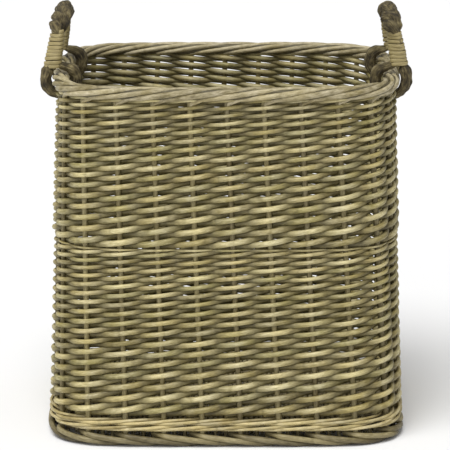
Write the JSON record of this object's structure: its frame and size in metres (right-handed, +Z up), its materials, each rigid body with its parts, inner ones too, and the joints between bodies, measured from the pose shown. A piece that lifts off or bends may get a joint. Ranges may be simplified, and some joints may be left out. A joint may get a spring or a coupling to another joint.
{
  "type": "log basket",
  "caption": "Rectangular woven willow log basket with rounded corners, a rolled rim and a twisted vine handle bound with cane at each end.",
  "frame": {"origin": "on the floor under the centre of the basket", "axes": "+Z up towards the open rim, X across the basket from handle to handle, -Y towards the front"},
  "size_m": [0.4536, 0.368, 0.5271],
  "materials": {
    "willow_weave": "matte",
    "willow_stake": "matte",
    "willow_border": "matte",
    "willow_base": "matte",
    "vine": "matte",
    "cane": "satin"
  },
  "bodies": {
    "basket": {"base_stick_01": "willow_base", "base_stick_02": "willow_base", "base_stick_03": "willow_base", "base_stick_04": "willow_base", "base_stick_05": "willow_base", "base_stick_06": "willow_base", "base_stick_07": "willow_base", "base_stick_08": "willow_base", "base_stick_09": "willow_base", "stake_01": "willow_stake", "stake_02": "willow_stake", "stake_03": "willow_stake", "stake_04": "willow_stake", "stake_05": "willow_stake", "stake_06": "willow_stake", "stake_07": "willow_stake", "stake_08": "willow_stake", "stake_09": "willow_stake", "stake_10": "willow_stake", "stake_11": "willow_stake", "stake_12": "willow_stake", "stake_13": "willow_stake", "stake_14": "willow_stake", "stake_15": "willow_stake", "stake_16": "willow_stake", "stake_17": "willow_stake", "stake_18": "willow_stake", "stake_19": "willow_stake", "stake_20": "willow_stake", "stake_21": "willow_stake", "stake_22": "willow_stake", "stake_23": "willow_stake", "stake_24": "willow_stake", "stake_25": "willow_stake", "stake_26": "willow_stake", "stake_27": "willow_stake", "stake_28": "willow_stake", "stake_29": "willow_stake", "stake_30": "willow_stake", "stake_31": "willow_stake", "stake_32": "willow_stake", "base_weave": "willow_base", "foot_border": "willow_border", "waling": "willow_weave", "lower_rand": "willow_weave", "upper_rand": "willow_weave", "rim_border": "willow_border"},
    "right_handle": {"right_vine": "vine", "right_binding_front": "cane", "right_binding_back": "cane"},
    "left_handle": {"left_vine": "vine", "left_binding_front": "cane", "left_binding_back": "cane"}
  },
  "joints": [
    {"name": "right_handle_tilt", "type": "hinge", "parent": "basket", "child": "right_handle", "pos_m": [0.2043, 0, 0.441], "axis": [0, 1, 0], "range_deg": [-15, 45]},
    {"name": "left_handle_tilt", "type": "hinge", "parent": "basket", "child": "left_handle", "pos_m": [-0.2043, 0, 0.441], "axis": [0, -1, 0], "range_deg": [-15, 45]}
  ]
}
